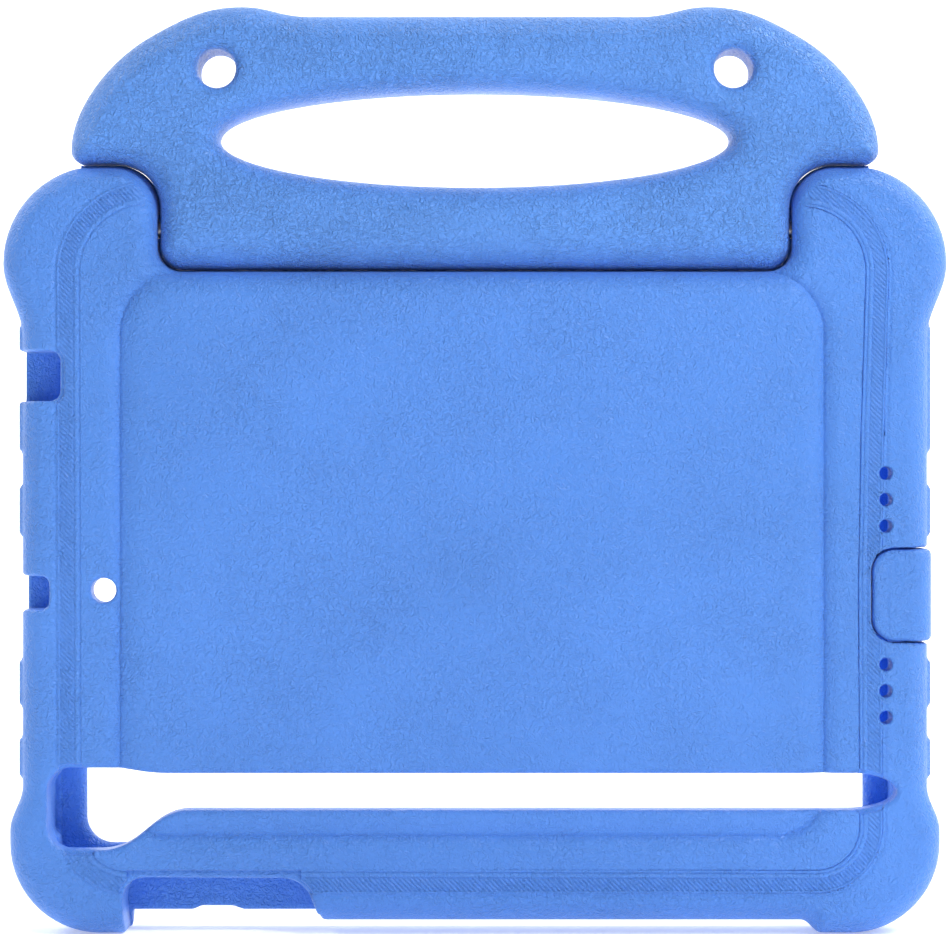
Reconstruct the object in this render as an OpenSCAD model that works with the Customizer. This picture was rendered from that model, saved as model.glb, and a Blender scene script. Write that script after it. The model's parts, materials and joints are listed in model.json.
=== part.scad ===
// Moulded foam case for a small tablet, with a carry handle that folds back as a stand.
// It stands upright on its two lower corner bumpers: +Z up, the back of the case faces -Y,
// and the open side that shows the screen faces +Y. The origin is at the centre of the
// footprint, on the surface that the bumpers stand on. All sizes are millimetres.

/* [Tablet pocket] */
// Length of the tablet, along X
tablet_w = 203.2; // [202:0.1:204]
// Height of the tablet, along Z
tablet_h = 134.8; // [134:0.1:136]
// Thickness of the tablet, along Y
tablet_t = 7.2; // [6.4:0.1:7.4]
// Play round the tablet
pocket_play = 0.3; // [0.1:0.1:0.5]
// Height of the tablet's middle above the ground
tablet_mid_z = 82.5; // [82:0.1:83]
// Overlap of the front lip on each edge of the tablet
lip_overlap = 6; // [4:0.5:7]

/* [Body] */
// Half width over the side walls
wall_x = 110.3; // [110:0.1:111]
// Thickness of the body, front to back
body_t = 21; // [20.8:0.2:23]
// Thickness of the foam behind the tablet
back_t = 8; // [7:0.5:9]
// Height of the straight part of the bottom edge
bottom_z = 3.2; // [3:0.1:4]
// Half width over the upper corner bumpers
upper_bumper_x = 115.1; // [114:0.1:116]
// Radius of the upper corner bumpers
upper_bumper_r = 24; // [22:0.5:24]
// Height of the top of the upper corner bumpers
shoulder_z = 187.2; // [187:0.1:187.4]
// Half width over the lower corner bumpers
lower_bumper_x = 113.4; // [112:0.1:114]
// Radius of the lower corner bumpers
lower_bumper_r = 22; // [20:0.5:23]
// How far the grip pads stand out of the side walls
pad_proud = 0.9; // [0.5:0.1:1.2]
// Rim rounding of the body, measured across the face
body_rim = 4; // [3:0.5:4]
// Rim rounding of the body, measured through the thickness
body_rim_depth = 5; // [4:0.5:5.5]

/* [Handle] */
// Thickness of the handle
handle_t = 19.8; // [19:0.2:20]
// Half width over the handle's wings
wing_x = 98.7; // [98:0.1:99]
// Half width of the handle between the shoulders
stem_x = 76.9; // [76:0.1:77]
// Height of the grip bar's top edge
grip_top_z = 223.7; // [222:0.1:224]
// Height of the two humps beside the grip
hump_z = 226.1; // [225:0.1:227]
// Half width of the finger opening
finger_w = 62.4; // [58:0.1:63]
// Half height of the finger opening
finger_h = 11.6; // [10:0.1:12]
// Height of the finger opening's middle
finger_z = 193.6; // [193:0.1:195]
// Radius of the two strap holes
strap_hole_r = 4.65; // [4:0.05:5]
// Sideways place of the strap holes
strap_hole_x = 62.9; // [60:0.1:65]
// Height of the strap holes
strap_hole_z = 210.6; // [209:0.1:212]
// Width of the flare at each end of a strap hole
strap_flare = 2.5; // [1:0.5:3]
// Rim rounding of the handle, measured across the face
handle_rim = 4.5; // [3:0.5:4.5]
// Rim rounding of the handle, measured through the thickness
handle_rim_depth = 6.5; // [5:0.5:7]

/* [Hinge] */
// Height of the hinge line
hinge_z = 171.8; // [171.6:0.1:172]
// Seam between the handle and the body
seam = 0.5; // [0.4:0.1:0.8]
// Radius of the steel hinge pins
pin_r = 2; // [1.5:0.1:2.2]
// Radial running clearance of the pins in their sleeves
pin_play = 0.05; // [0.02:0.01:0.08]
// Outer radius of the sleeves in the shoulders
sleeve_r = 3.6; // [3.4:0.1:4]

/* [Port flap] */
// Left edge of the flap
flap_x = 96.4; // [96:0.1:97]
// Height of the flap
flap_h = 22.4; // [20:0.1:23]
// Radius of the flap's two left corners
flap_corner_r = 5.5; // [4:0.5:6]
// Gap round the flap
flap_gap = 0.4; // [0.3:0.05:0.5]

/* [Cut-outs] */
// Middle height of the long camera slot
slot_z = 34.9; // [34:0.1:36]
// Half height of the long camera slot
slot_half = 4.4; // [4:0.1:5]
// Right end of the long camera slot
slot_end_x = 102.3; // [98:0.1:103]
// Radius of the six speaker holes
speaker_r = 1.6; // [1.2:0.1:2]
// Radius of the rear microphone hole
mic_r = 2.95; // [2:0.05:3.5]

/* [Hidden] */
foam_color = [0.30, 0.52, 0.90];
handle_color = [0.33, 0.55, 0.92];
core_color = [0.20, 0.22, 0.26];
steel_color = [0.72, 0.73, 0.75];
sleeve_color = [0.90, 0.90, 0.86];

arc_step = 9;              // degrees between the points of an outline's arc
curve_points = 8;          // points along an outline's free curve
rim_steps = 4;             // facets across a rounded rim
rim_core = 0.5;            // width of the rim band inside its rounding, which laps the core
eps = 0.01;                // overlap of two cutters

half_t = body_t / 2;
handle_half_t = handle_t / 2;
notch_x = stem_x + seam;
notch_z = hinge_z - handle_half_t - seam;
stem_corner_r = 5.2;
stem_corner_x = stem_x - stem_corner_r;
stem_corner_z = notch_z + seam + stem_corner_r;
stem_corner_turn = hinge_z - stem_corner_z;   // from the hinge line to the middle of that corner
notch_top_r = 10.4;        // rounding of the shoulders' inner top corners
notch_top_x = notch_x + notch_top_r;
notch_top_z = shoulder_z - notch_top_r;
wing_z = shoulder_z + seam;
wing_corner_r = 3.2;
wing_curve_z = 193.2;      // where the wing's outer edge starts to lean in
upper_bumper_mid_x = upper_bumper_x - upper_bumper_r;
upper_bumper_mid_z = shoulder_z - upper_bumper_r;
lower_bumper_mid_x = lower_bumper_x - lower_bumper_r;
foot_x = 84.5;             // inner end of the flat under each lower bumper
pocket_back_y = back_t - half_t;
pocket_front_y = pocket_back_y + tablet_t + pocket_play;
pocket_w = tablet_w / 2 + pocket_play;
pocket_low_z = tablet_mid_z - tablet_h / 2 - pocket_play;
pocket_high_z = tablet_mid_z + tablet_h / 2 + pocket_play;
pocket_corner_r = 5;       // tighter than the tablet's own corners, which so stay clear of the foam
window_corner_r = 6.5;
lip_front_y = pocket_front_y - 0.8;
pin_in_x = 61;             // inner end of each pin, inside the handle's core
pin_out_x = 88;            // outer end of each pin, inside the shoulder
sleeve_in_x = notch_x + 0.3;
sleeve_out_x = pin_out_x + 0.8;
flap_mid_z = tablet_mid_z;
flap_hinge_x = wall_x + pad_proud - 2;
flap_hinge_y = 5;
flap_hinge_r = 2;
flap_in_x = pocket_w + 1.6;
flap_depth_y = flap_hinge_y - flap_hinge_r - 0.2;   // front end of the room for the flap's block

pad_spans = [[38, 47.5], [55.5, 66.5], [97, 109], [117.5, 146]];   // grip pads, along Z
pad_half = 5;              // half width of a grip pad, through the thickness
lobe = [[-103.6, 20.7], [-84.6, 40.6]];             // camera lobe in the back
lobe_hollow = [[-103.6, 22.5], [-95, 38.8]];        // wider room beside the camera
socket_cutout = [[-125, 129.6], [-100.6, 141.8]];   // headphone socket, left wall
side_mic_cutout = [[-125, 78.9], [-103.2, 87.2]];   // microphone, left wall
side_mic_hollow = [[-125, 79.4], [-100.6, 86.7]];
volume_left_x = -84.3;     // left end of the cut-out for the volume buttons
volume_right_x = -37.8;
volume_lip_z = 4.6;        // lower edge of the front lip at that cut-out
rear_mic = [-90.1, 83.7];  // microphone hole in the back
speaker_x = 99.6;
speaker_first = 16.8;      // first speaker hole, above and below the middle of the tablet
speaker_step = 6.4;
panel_low = [-86, 22.6];   // groove round the central panel
panel_high_x = 86;
panel_groove_w = 1.6;
panel_groove_depth = 0.9;
band_low = [-100.2, 10.9]; // band of grip texture
band_high = [100.2, 182];
band_w = 3.2;
band_depth = 0.4;

// Points on an arc, with the first and the last one included.
function arc(mid, r, from, to) =
    let (n = ceil(abs(to - from) / arc_step))
    [for (i = [0 : n]) let (a = from + (to - from) * i / n) mid + r * [cos(a), sin(a)]];

// A smooth step from a to b that leaves both ends straight along Z.
function side_step(a, b) =
    [for (i = [1 : curve_points - 1])
        let (t = i / curve_points)
        [a[0] + (b[0] - a[0]) * (1 - cos(180 * t)) / 2, a[1] + (b[1] - a[1]) * t]];

// The same step, with both ends straight along X.
function flat_step(a, b) =
    [for (i = [1 : curve_points - 1])
        let (t = i / curve_points)
        [a[0] + (b[0] - a[0]) * t, a[1] + (b[1] - a[1]) * (1 - cos(180 * t)) / 2]];

// A cubic curve set in by d to the left of its direction, without its first point.
function curve(p, d) =
    [for (i = [1 : curve_points])
        let (
            t = i / curve_points,
            u = 1 - t,
            at = u * u * u * p[0] + 3 * u * u * t * p[1] + 3 * u * t * t * p[2] + t * t * t * p[3],
            run = u * u * (p[1] - p[0]) + 2 * u * t * (p[2] - p[1]) + t * t * (p[3] - p[2])
        )
        at + d * [-run[1], run[0]] / norm(run)];

// A closed outline from its right half, which runs up from the bottom.
function both_halves(right) =
    concat(right, [for (i = [len(right) - 1 : -1 : 0]) [-right[i][0], right[i][1]]]);

// The body's outline, set in by d.
function body_outline(d) = both_halves(concat(
    [[foot_x - 5, bottom_z + d]],
    flat_step([foot_x - 5, bottom_z + d], [foot_x, d]),
    [[foot_x, d]],
    arc([lower_bumper_mid_x, lower_bumper_r], lower_bumper_r - d, -90, 0),
    side_step([lower_bumper_x - d, lower_bumper_r], [wall_x - d, lower_bumper_r + 14]),
    [[wall_x - d, lower_bumper_r + 14], [wall_x - d, 145]],
    side_step([wall_x - d, 145], [upper_bumper_x - d, upper_bumper_mid_z]),
    arc([upper_bumper_mid_x, upper_bumper_mid_z], upper_bumper_r - d, 0, 90),
    arc([notch_top_x, notch_top_z], notch_top_r - d, 90, 180),
    arc([stem_corner_x, stem_corner_z], stem_corner_r + seam + d, 0, -90)
));

// The handle's outline, set in by d.
function handle_outline(d) =
    let (
        stem_r = max(stem_corner_r - d, 0.4),
        tip_r = max(wing_corner_r - d, 0.4),
        tip = [wing_x, wing_curve_z],
        shoulder = [78.6, 219.2],
        hump = [57, hump_z],
        grip = [40, grip_top_z]
    )
    both_halves(concat(
        arc([stem_x - d - stem_r, notch_z + seam + d + stem_r], stem_r, -90, 0),
        arc([notch_top_x, notch_top_z], notch_top_r + seam + d, 180, 90),
        arc([wing_x - d - tip_r, wing_z + d + tip_r], tip_r, -90, 0),
        [tip - [d, 0]],
        curve([tip, [98.7, 201], [90.5, 212.6], shoulder], d),
        curve([shoulder, [71.5, 223.1], [66, hump_z], hump], d),
        curve([hump, [50, hump_z], [48, grip_top_z], grip], d)
    ));

// An ellipse of points for the finger opening, grown by d.
function finger_outline(d) =
    [for (a = [0 : 6 : 354]) [(finger_w + d) * cos(a), finger_z + (finger_h + d) * sin(a)]];

// Corner points of a rounded box between two corners.
function rounded_box(low, high, r) = concat(
    arc([high[0] - r, low[1] + r], r, -90, 0),
    arc([high[0] - r, high[1] - r], r, 0, 90),
    arc([low[0] + r, high[1] - r], r, 90, 180),
    arc([low[0] + r, low[1] + r], r, 180, 270)
);

function at_y(points, y) = [for (p = points) [p[0], y, p[1]]];

// Stands a drawing in X and Z up, and gives it a depth from one Y to another.
module upright(from_y, to_y) {
    translate([0, to_y, 0])
        rotate([90, 0, 0])
            linear_extrude(to_y - from_y)
                children();
}

// A closed band through rings of points, where the last ring joins the first one.
module ring_band(rings) {
    n = len(rings[0]);
    m = len(rings);
    polyhedron(
        points = [for (ring = rings) each ring],
        faces = [
            for (j = [0 : m - 1], i = [0 : n - 1])
                let (
                    a = j * n + i,
                    b = j * n + (i + 1) % n,
                    c = ((j + 1) % m) * n + (i + 1) % n,
                    e = ((j + 1) % m) * n + i
                )
                each [[a, b, c], [a, c, e]]
        ],
        convexity = 8
    );
}

// A solid through rings of points, closed with a flat end at the first and the last one.
module ring_stack(rings) {
    n = len(rings[0]);
    m = len(rings);
    polyhedron(
        points = [for (ring = rings) each ring],
        faces = concat(
            [[for (i = [n - 1 : -1 : 0]) i]],
            [
                for (j = [0 : m - 2], i = [0 : n - 1])
                    let (a = j * n + i, b = j * n + (i + 1) % n)
                    each [[a, b, b + n], [a, b + n, a + n]]
            ],
            [[for (i = [0 : n - 1]) (m - 1) * n + i]]
        ),
        convexity = 4
    );
}

// How far in, and how deep, each step of a rounded rim lies.
function rim_section(half, rim, depth) = concat(
    [for (i = [0 : rim_steps]) let (a = 90 * i / rim_steps)
        [rim * (1 - sin(a)), -half + depth * (1 - cos(a))]],
    [for (i = [rim_steps : -1 : 0]) let (a = 90 * i / rim_steps)
        [rim * (1 - sin(a)), half - depth * (1 - cos(a))]],
    [[rim + rim_core, half], [rim + rim_core, -half]]
);

module body_blank() {
    section = rim_section(half_t, body_rim, body_rim_depth);
    ring_band([for (s = section) at_y(body_outline(s[0]), s[1])]);
    upright(-half_t, half_t)
        polygon(body_outline(body_rim + rim_core / 2));
}

module handle_blank() {
    section = rim_section(handle_half_t, handle_rim, handle_rim_depth);
    ring_band([for (s = section) at_y(handle_outline(s[0]), s[1])]);
    upright(-handle_half_t, handle_half_t)
        polygon(handle_outline(handle_rim + rim_core / 2));
}

// A round bar along X.
module bar_x(from_x, to_x, r, y, z) {
    translate([from_x, y, z])
        rotate([0, 90, 0])
            cylinder(h = to_x - from_x, r = r, $fn = 64);
}

// A round hole along Y, with a flared mouth at its -Y end and, if both is true, at its +Y end.
module flared_hole(r, mouth_r, x, z, from_y, to_y, both = false) {
    flare = mouth_r - r;
    length = to_y - from_y;
    end = both ? [[r, length - flare], [mouth_r, length], [mouth_r, length + 1]] : [[r, length + 1]];
    translate([x, from_y, z])
        rotate([-90, 0, 0])
            rotate_extrude($fn = 64)
                polygon(concat([[0, -1], [mouth_r, -1], [mouth_r, 0], [r, flare]], end, [[0, length + 1]]));
}

// The space that one wing of the handle sweeps as it folds back past the shoulder. Above the
// hinge line it is a solid of revolution, and below it the wing only comes straight down.
module wing_sweep() {
    far_r = 34;
    lift = seam / 2 - hinge_z;
    inner_arc = [for (p = arc([notch_top_x, notch_top_z], notch_top_r, 180, 90)) [p[1] + lift, p[0]]];
    start = notch_top_z + lift;
    intersection() {
        translate([0, 0, hinge_z])
            rotate([0, 90, 0])
                rotate_extrude($fn = 96)
                    polygon(concat(
                        [[start, notch_x - 0.2]],
                        inner_arc,
                        [
                            [shoulder_z + lift, wing_x + seam],
                            [far_r, wing_x + seam],
                            [far_r, notch_x - 0.2]
                        ]
                    ));
        translate([notch_x - 3, -40, hinge_z])
            cube([40, 40, 60]);
    }
    translate([0, 0, notch_z])
        linear_extrude(hinge_z - notch_z)
            polygon(concat(
                [[notch_x - 0.2, -start]],
                [for (p = inner_arc) [p[1], -p[0]]],
                [[notch_x - 0.2, -shoulder_z - lift]]
            ));
}

// The grip pads on a side wall, each with round ends.
module grip_pads() {
    for (span = pad_spans)
        translate([wall_x - 1, 0, 0])
            rotate([90, 0, 90])
                linear_extrude(1 + pad_proud)
                    polygon(rounded_box([-pad_half, span[0]], [pad_half, span[1]], pad_half / 2));
}

module tablet_pocket() {
    upright(pocket_back_y, pocket_front_y)
        polygon(rounded_box([-pocket_w, pocket_low_z], [pocket_w, pocket_high_z], pocket_corner_r));
    upright(pocket_front_y - eps, half_t + 1)
        polygon(rounded_box(
            [lip_overlap - pocket_w, pocket_low_z + lip_overlap],
            [pocket_w - lip_overlap, pocket_high_z - lip_overlap],
            window_corner_r
        ));
}

// The camera lobe, and the long slot that runs from it to a pointed end on the right.
module camera_slot() {
    upright(-half_t - 1, pocket_back_y + 1) {
        polygon(rounded_box(lobe[0], lobe[1], 5.5));
        polygon(concat(
            [[-90, slot_z + slot_half + 1.2], [-90, 21.2]],
            flat_step([-86, 21.2], [-69, slot_z - slot_half]),
            arc([slot_end_x - 7, slot_z - 0.6], slot_half - 0.6, -90, -40),
            [[slot_end_x, slot_z]],
            arc([slot_end_x - 7, slot_z + 0.6], slot_half - 0.6, 40, 90),
            flat_step([-69, slot_z + slot_half], [-82, slot_z + slot_half + 1.2])
        ));
    }
    upright(-half_t - 1, lip_front_y)
        polygon(rounded_box(lobe_hollow[0], lobe_hollow[1], 4));
}

// The cut-outs for the sockets and buttons leave the front lip in place.
module edge_cutouts() {
    // headphone socket, in the left wall
    upright(-half_t - 1, lip_front_y)
        polygon(rounded_box(socket_cutout[0], socket_cutout[1], 3));
    // microphone, in the left wall, wider behind the back foam
    upright(-half_t - 1, lip_front_y)
        polygon(rounded_box(side_mic_cutout[0], side_mic_cutout[1], 2.5));
    upright(pocket_back_y - 1.5, lip_front_y)
        polygon(rounded_box(side_mic_hollow[0], side_mic_hollow[1], 2.5));
    // volume buttons, in the bottom wall, higher behind the back foam
    upright(-half_t - 1, lip_front_y)
        polygon([
            [volume_left_x + 1.8, 13], [volume_left_x - 1.8, 8.6], [volume_left_x, 3], [volume_left_x, -5],
            [volume_right_x + 3.8, -5], [volume_right_x, 3.4],
            [volume_right_x - 2.7, 8.8], [volume_right_x - 5.4, 12.8]
        ]);
    upright(pocket_back_y - 1.5, lip_front_y)
        polygon([
            [volume_left_x + 2.3, 12], [volume_left_x + 2.3, pocket_low_z + 1],
            [volume_right_x - 6.2, pocket_low_z + 1], [volume_right_x - 6.2, 12]
        ]);
    upright(-half_t - 1, half_t + 1)
        polygon([
            [volume_left_x, -1], [volume_left_x + 1.8, volume_lip_z],
            [volume_right_x - 1.2, volume_lip_z], [volume_right_x + 1.8, -1]
        ]);
}

module sound_holes() {
    flared_hole(mic_r, mic_r + 0.8, rear_mic[0], rear_mic[1], -half_t, pocket_back_y + 1);
    for (side = [-1, 1], step = [0 : 2])
        flared_hole(
            speaker_r, speaker_r + 0.3,
            speaker_x, tablet_mid_z + side * (speaker_first + speaker_step * step),
            -half_t, pocket_back_y + 1
        );
}

// The groove round the central panel, and the shallow band of the grip texture outside it.
module back_grooves() {
    panel_in = [panel_groove_w, panel_groove_w];
    band_in = [band_w, band_w];
    upright(-half_t - 1, -half_t + panel_groove_depth)
        difference() {
            polygon(rounded_box(panel_low, [panel_high_x, notch_z - 0.5], 12));
            polygon(rounded_box(panel_low + panel_in, [panel_high_x - panel_groove_w, notch_z + 20], 11));
        }
    upright(-half_t - 1, -half_t + band_depth)
        difference() {
            polygon(rounded_box(band_low, band_high, 22));
            polygon(rounded_box(band_low + band_in, band_high - band_in, 19));
            translate([-notch_x - 6, notch_z - 2])
                square([2 * notch_x + 12, 60]);
        }
}

module flap_opening() {
    upright(-half_t - 1, flap_depth_y)
        polygon(rounded_box(
            [flap_x - flap_gap, flap_mid_z - flap_h / 2 - flap_gap],
            [flap_x + 40, flap_mid_z + flap_h / 2 + flap_gap],
            flap_corner_r + flap_gap
        ));
    translate([flap_hinge_x, flap_hinge_y, flap_mid_z])
        cylinder(h = flap_h + 2 * flap_gap, r = flap_hinge_r + flap_gap, center = true, $fn = 64);
    translate([flap_hinge_x - flap_hinge_r - flap_gap, flap_hinge_y - 4, flap_mid_z - flap_h / 2 - flap_gap])
        cube([30, 4, flap_h + 2 * flap_gap]);
    translate([flap_hinge_x, flap_hinge_y - 1, flap_mid_z - flap_h / 2 - flap_gap])
        cube([30, 1 + flap_hinge_r + flap_gap, flap_h + 2 * flap_gap]);
}

module body_shell() {
    color(foam_color)
        difference() {
            union() {
                body_blank();
                grip_pads();
                mirror([1, 0, 0])
                    grip_pads();
            }
            tablet_pocket();
            camera_slot();
            edge_cutouts();
            sound_holes();
            back_grooves();
            flap_opening();
            wing_sweep();
            mirror([1, 0, 0])
                wing_sweep();
            bar_x(notch_x - 2, sleeve_out_x, sleeve_r, 0, hinge_z);
            bar_x(-sleeve_out_x, 2 - notch_x, sleeve_r, 0, hinge_z);
        }
}

// The flap wraps round the wall's back edge, and turns on a half-round front edge.
module port_flap() {
    out_x = wall_x + pad_proud;
    color(foam_color)
        intersection() {
            translate([0, 0, flap_mid_z - flap_h / 2])
                linear_extrude(flap_h)
                    polygon(concat(
                        [[flap_x, pocket_back_y - 0.4], [flap_x, -half_t + 1]],
                        arc([flap_x + 1, -half_t + 1], 1, 180, 270),
                        arc([out_x - 4.5, -half_t + 4.5], 4.5, -90, 0),
                        arc([flap_hinge_x, flap_hinge_y], flap_hinge_r, 0, 180),
                        [
                            [flap_hinge_x - flap_hinge_r, flap_depth_y - flap_gap],
                            [flap_in_x + 0.6, flap_depth_y - 2 * flap_gap],
                            [flap_in_x, pocket_back_y - 0.4]
                        ]
                    ));
            upright(-half_t - 1, half_t)
                polygon(rounded_box(
                    [flap_x, flap_mid_z - flap_h / 2],
                    [flap_x + 40, flap_mid_z + flap_h / 2],
                    flap_corner_r
                ));
        }
}

module core_shape(grow) {
    translate([-66, -2.5 - grow, hinge_z - 4 - grow])
        cube([132, 5 + 2 * grow, 8 + 2 * grow]);
    for (side = [-1, 1])
        bar_x(side * 67.5 - 7.5 - grow, side * 67.5 + 7.5 + grow, 5.5 + grow, 0, hinge_z);
}

// What the handle's lower end may fill, so that it turns clear of the notch: the notch's own
// outline revolved about the hinge line.
module turning_end() {
    slack = seam / 10;
    r = stem_corner_r + slack;
    translate([0, 0, hinge_z])
        rotate([0, 90, 0])
            rotate_extrude($fn = 96)
                polygon(concat(
                    [[0, -stem_x - slack]],
                    [for (p = arc([0, 0], r, -90, 0)) p + [stem_corner_turn, -stem_corner_x]],
                    [for (p = arc([0, 0], r, 0, 90)) p + [stem_corner_turn, stem_corner_x]],
                    [[0, stem_x + slack]]
                ));
}

module handle_foam() {
    section = rim_section(handle_half_t, handle_rim, handle_rim_depth);
    flare = [for (i = [0 : 2 * rim_steps + 1]) section[i]];
    color(handle_color)
        difference() {
            handle_blank();
            // the finger opening, flared towards both faces
            ring_stack([
                for (s = concat([[handle_rim, -half_t]], flare, [[handle_rim, half_t]]))
                    at_y(finger_outline(s[0]), s[1])
            ]);
            for (side = [-1, 1])
                flared_hole(
                    strap_hole_r, strap_hole_r + strap_flare,
                    side * strap_hole_x, strap_hole_z, -handle_half_t, handle_half_t, both = true
                );
            difference() {
                translate([-100, -half_t, hinge_z - 20])
                    cube([200, body_t, 20]);
                turning_end();
            }
            core_shape(0.05);
            bar_x(-stem_x - 1, -60, pin_r, 0, hinge_z);
            bar_x(60, stem_x + 1, pin_r, 0, hinge_z);
        }
}

// The stiffener inside the handle, which holds both pins.
module handle_core() {
    color(core_color)
        difference() {
            core_shape(0);
            bar_x(pin_in_x, 80, pin_r, 0, hinge_z);
            bar_x(-80, -pin_in_x, pin_r, 0, hinge_z);
        }
}

module hinge_pin() {
    bar_x(pin_in_x, pin_out_x - 0.6, pin_r, 0, hinge_z);
    translate([pin_out_x - 0.6, 0, hinge_z])
        rotate([0, 90, 0])
            cylinder(h = 0.6, r1 = pin_r, r2 = pin_r - 0.6, $fn = 64);
}

module hinge_sleeve() {
    difference() {
        bar_x(sleeve_in_x, sleeve_out_x, sleeve_r, 0, hinge_z);
        bar_x(sleeve_in_x - 1, pin_out_x + 0.3, pin_r + pin_play, 0, hinge_z);
    }
}

module hinge_pin_left() {
    color(steel_color)
        mirror([1, 0, 0])
            hinge_pin();
}

module hinge_pin_right() {
    color(steel_color)
        hinge_pin();
}

module hinge_sleeve_left() {
    color(sleeve_color)
        mirror([1, 0, 0])
            hinge_sleeve();
}

module hinge_sleeve_right() {
    color(sleeve_color)
        hinge_sleeve();
}

body_shell();
port_flap();
handle_foam();
handle_core();
hinge_pin_left();
hinge_pin_right();
hinge_sleeve_left();
hinge_sleeve_right();
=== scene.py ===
# Looks of the moulded foam tablet case.
#
# Each foam piece is a solid described by a signed distance in millimetres. It is meshed by a
# surface net whose points are then moved onto the exact surface, so seams, rims and cut-outs
# are real geometry. X runs to the right and Z up as the back of the case is seen, and the back
# faces -Y.

import json
import math

import bpy
import numpy as np
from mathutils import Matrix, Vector


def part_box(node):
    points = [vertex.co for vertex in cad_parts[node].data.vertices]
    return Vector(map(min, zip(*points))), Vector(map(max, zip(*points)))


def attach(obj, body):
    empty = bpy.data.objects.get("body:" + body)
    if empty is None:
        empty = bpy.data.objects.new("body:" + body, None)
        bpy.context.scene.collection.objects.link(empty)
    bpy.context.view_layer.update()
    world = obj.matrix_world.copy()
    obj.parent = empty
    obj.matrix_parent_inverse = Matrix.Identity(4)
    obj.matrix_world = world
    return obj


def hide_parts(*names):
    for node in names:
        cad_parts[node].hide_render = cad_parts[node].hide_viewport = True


MM = 0.001

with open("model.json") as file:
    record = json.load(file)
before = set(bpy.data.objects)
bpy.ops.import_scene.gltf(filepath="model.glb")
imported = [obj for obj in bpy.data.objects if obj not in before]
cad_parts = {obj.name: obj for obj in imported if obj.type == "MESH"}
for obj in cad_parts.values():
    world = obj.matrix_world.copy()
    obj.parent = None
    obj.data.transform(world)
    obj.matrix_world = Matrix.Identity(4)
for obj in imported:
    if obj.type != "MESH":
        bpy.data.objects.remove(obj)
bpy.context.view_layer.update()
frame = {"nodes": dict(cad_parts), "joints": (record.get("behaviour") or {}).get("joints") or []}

# ---------------------------------------------------------------- sizes from the frame, in mm


def node_box(name):
    low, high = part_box(name)
    return np.array(low) / MM, np.array(high) / MM


case_low, case_high = node_box("body_shell")
handle_low, handle_high = node_box("handle_foam")
flap_low, flap_high = node_box("port_flap")
hinge_z = frame["joints"][0]["pos_m"][2] / MM
flap_hinge = np.array(frame["joints"][1]["pos_m"]) / MM

HALF_T = case_high[1]
HANDLE_HALF_T = handle_high[1]
BUMPER_X = case_high[0]
SHOULDER_Z = case_high[2]
WING_X = handle_high[0]
HUMP_Z = handle_high[2]
FLAP_X = flap_low[0]
FLAP_OUT_X = flap_high[0]
FLAP_MID_Z = (flap_low[2] + flap_high[2]) / 2
FLAP_HALF_H = (flap_high[2] - flap_low[2]) / 2
SEAM_Z = handle_low[2]

# ---------------------------------------------------------------- sizes of the mouldings, in mm

SEAM = 0.5                  # gap between the handle and the case
WALL_X = FLAP_OUT_X - 0.9   # side walls, without their grip pads
BOTTOM_Z = 3.2              # straight part of the bottom edge
LOWER_BUMPER_X = 113.4
LOWER_BUMPER_R = 22.0
UPPER_BUMPER_R = 24.0
STEM_X = 76.9               # half width of the handle between the shoulders
STEM_CORNER_R = 5.2
NOTCH_TOP_R = 10.4          # inner top corners of the shoulders
WING_CORNER_R = 3.2
GRIP_TOP_Z = HUMP_Z - 2.4
CASE_RIM = 6.0              # rounding of the case's outer edges
HANDLE_RIM = 7.5            # rounding of the handle's outer edges

POCKET_X = 101.9
POCKET_Z = (14.8, 150.2)
POCKET_Y = (-2.5, 5.0)
POCKET_R = 5.0
WINDOW_R = 6.5
LIP = 6.0                   # overlap of the front lip

PANEL = (-86.2, 84.6, 24.0)  # left, right and bottom of the raised panel
CREASE = 1.5                # depth of the crease round the panel
SLOT_Z = 34.9
SLOT_HALF = 4.4
FINGER = (62.4, 11.6, 193.6)  # half width, half height and middle of the finger opening
STRAP_HOLE = (62.9, 210.6, 4.65)
MIC_HOLE = (-90.1, 83.7, 2.95)
SPEAKER_X = 99.6
SPEAKER_R = 1.6
SPEAKER_RISES = (16.8, 23.2, 29.6)
FLAP_GAP = 0.4
FLAP_DEPTH_Y = flap_hinge[1] - 2.2   # front end of the room for the flap's block
FLAP_BARREL_ROOM_R = 2.4             # room round the flap's hinge
FLAP_LINE = (0.35, 0.4)              # depth and width of the line that crosses the flap

GRIP_PADS = ((38, 47.5), (55.5, 66.5), (97, 109), (117.5, 148))  # lower and upper ends
GRIP_HALF_Y = 4.2           # half width of the grip pads, without their rounding
GRIP_R = 0.8                # rounding of the grip pads
GRIP_CORE = 0.1             # half thickness of the grip pads, without their rounding

# Hollows between the pocket and the cut-outs: middle and half size in X and Z, corner radius.
CAMERA_HOLLOW = ((-99.3, 30.65), (4.2, 8.0), 3)
SIDE_MIC_HOLLOW = ((-112, FLAP_MID_Z + 0.5), (11.4, 3.7), 2)
VOLUME_HOLLOW = ((-63, 14), (19.5, 3.5), 1)
VOLUME_LIP = (-61, 23.4, 4.4)    # middle, half width and top of the gap in the front lip
LIP_Y = POCKET_Y[1] - 0.8        # front end of the cut-outs that leave the front lip in place
BEHIND_Y = POCKET_Y[0] - 1.5     # back end of the hollows
SLEEVE_ROOM = (3.6, 82.5, 6)     # radius, middle and half length of the hinge sleeves' sockets

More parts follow.
